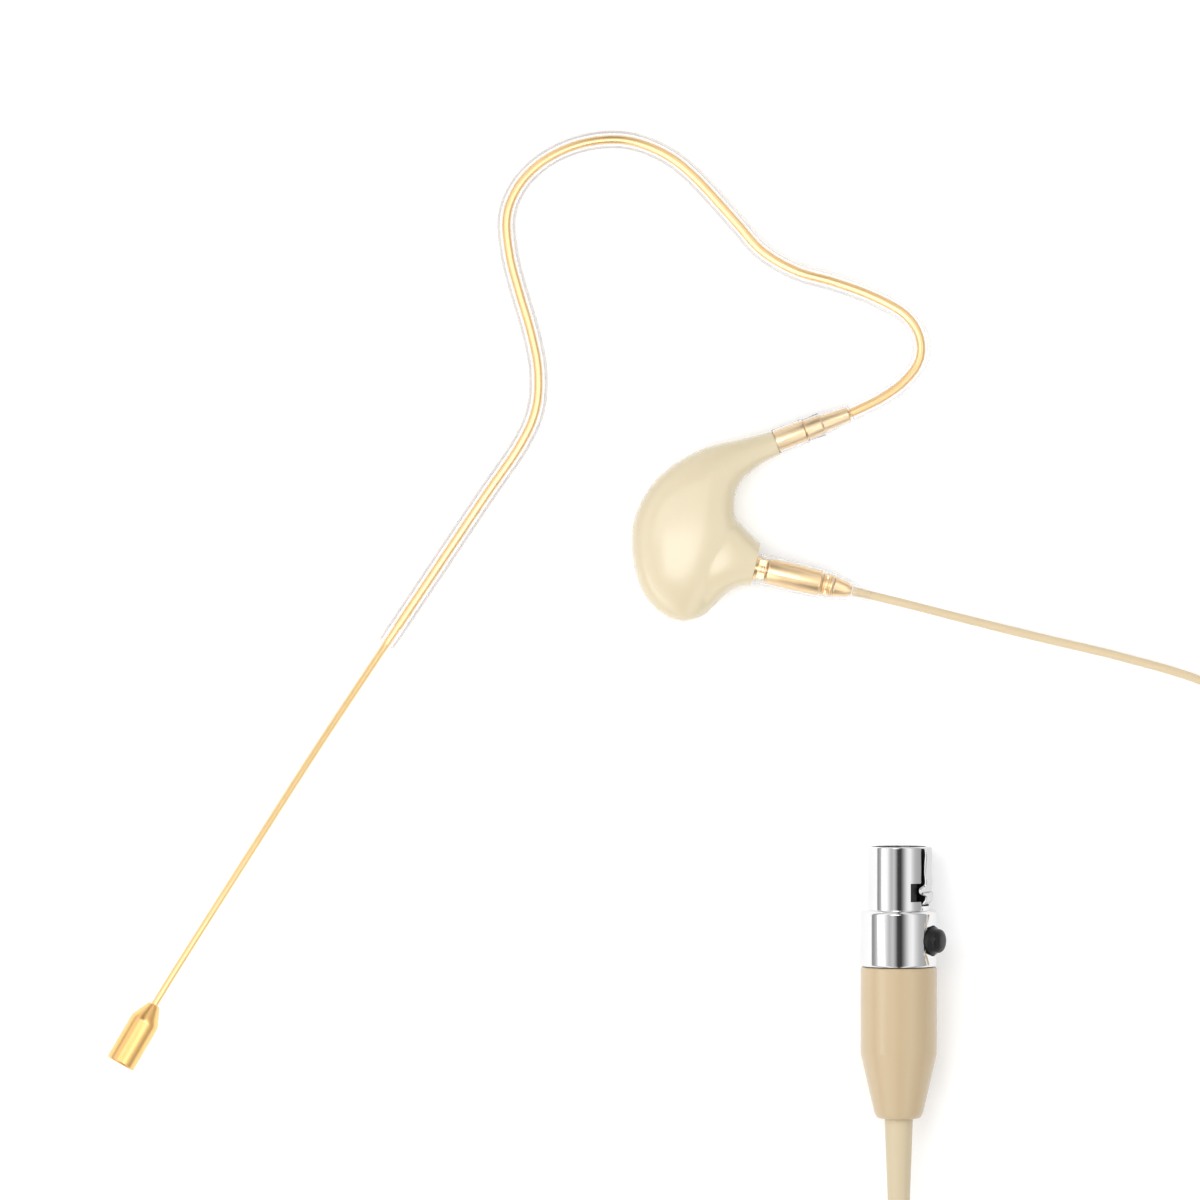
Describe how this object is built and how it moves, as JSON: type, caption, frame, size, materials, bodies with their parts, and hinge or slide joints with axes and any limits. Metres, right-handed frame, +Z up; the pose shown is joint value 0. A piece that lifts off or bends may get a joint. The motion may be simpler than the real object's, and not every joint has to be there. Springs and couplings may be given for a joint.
{
  "type": "headset microphone",
  "caption": "Ear-hook headset microphone lying flat: thin boom with capsule, clear-sleeved ear loop, beige ear body, plug-in cable with a coiled spare length and a locking mini connector.",
  "frame": {"origin": "on the table under the middle of the headset, measured without its cable and connector", "axes": "+Z up from the table; +X towards the cable side; +Y from the boom's tip towards the top of the ear loop"},
  "size_m": [0.1724, 0.1611, 0.0102],
  "materials": {
    "gold_plate": "satin gold-tan plating",
    "clear_silicone": "clear soft sleeve",
    "beige_gloss": "glossy beige moulding",
    "beige_satin": "smooth tan moulding",
    "pale_rubber": "matt pale beige rubber",
    "cable_jacket": "matt cream jacket",
    "chrome": "bright chrome plating",
    "black_plastic": "black moulded plastic",
    "white_plastic": "white insulator plastic",
    "steel": "plain steel",
    "board": "green circuit board",
    "tie": "black cable tie"
  },
  "bodies": {
    "ear_body": {"ear_body_front": "beige_gloss", "ear_body_rear": "beige_gloss", "neck_ferrule": "gold_plate", "neck_cover": "clear_silicone", "socket_barrel": "gold_plate", "socket_insulator": "white_plastic", "socket_contact": "gold_plate", "junction_board": "board", "board_capacitor": "white_plastic", "signal_lead": "cable_jacket", "socket_lead": "cable_jacket"},
    "ear_loop": {"ear_loop_wire": "gold_plate", "ear_loop_sleeve": "clear_silicone"},
    "boom": {"boom_tube": "gold_plate", "capsule_housing": "gold_plate", "capsule_grille": "gold_plate", "capsule_dust_screen": "black_plastic", "electret_element": "steel", "element_gasket": "black_plastic", "element_board": "board"},
    "cable": {"plug_pin": "gold_plate", "plug_neck": "gold_plate", "plug_sleeve": "gold_plate", "plug_ring": "gold_plate", "plug_cone": "gold_plate", "plug_cover": "clear_silicone", "cable_lead": "cable_jacket", "cable_coil": "cable_jacket", "coil_tie": "tie", "cable_tail": "cable_jacket", "connector_shell": "chrome", "connector_insert": "black_plastic", "contact_1": "gold_plate", "contact_2": "gold_plate", "contact_3": "gold_plate", "contact_4": "gold_plate", "insert_retainer": "steel", "cable_clamp": "steel", "connector_boot": "beige_satin", "strain_relief_tail": "pale_rubber"},
    "latch": {"latch_spring": "chrome"},
    "button": {"latch_button": "black_plastic"}
  },
  "joints": [
    {"name": "ear_loop_flex", "type": "hinge", "parent": "ear_body", "child": "ear_loop", "pos_m": [0.04383, 0.02478, 0.0033], "axis": [0, 0, 1], "range_deg": [-8, 8], "stiffness_Nm_per_rad": 0.03},
    {"name": "boom_bend", "type": "hinge", "parent": "ear_loop", "child": "boom", "pos_m": [-0.01775, -0.00592, 0.00126], "axis": [0, 0, 1], "range_deg": [-25, 25]},
    {"name": "plug_pull", "type": "slide", "parent": "ear_body", "child": "cable", "axis": [0.9732, -0.23, 0], "range_m": [0, 0.006]},
    {"name": "button_press", "type": "slide", "parent": "cable", "child": "button", "axis": [-0.866, 0, -0.5], "range_m": [0, 0.0008], "stiffness_N_per_m": 1500},
    {"name": "latch_tilt", "type": "hinge", "parent": "cable", "child": "latch", "pos_m": [0.05394, -0.0332, 0.00727], "axis": [0.5, 0, -0.866], "range_deg": [0, 4.2]}
  ],
  "couplings": [
    {"joint": "latch_tilt", "follows": "button_press", "rad_per_m": 85.8}
  ]
}
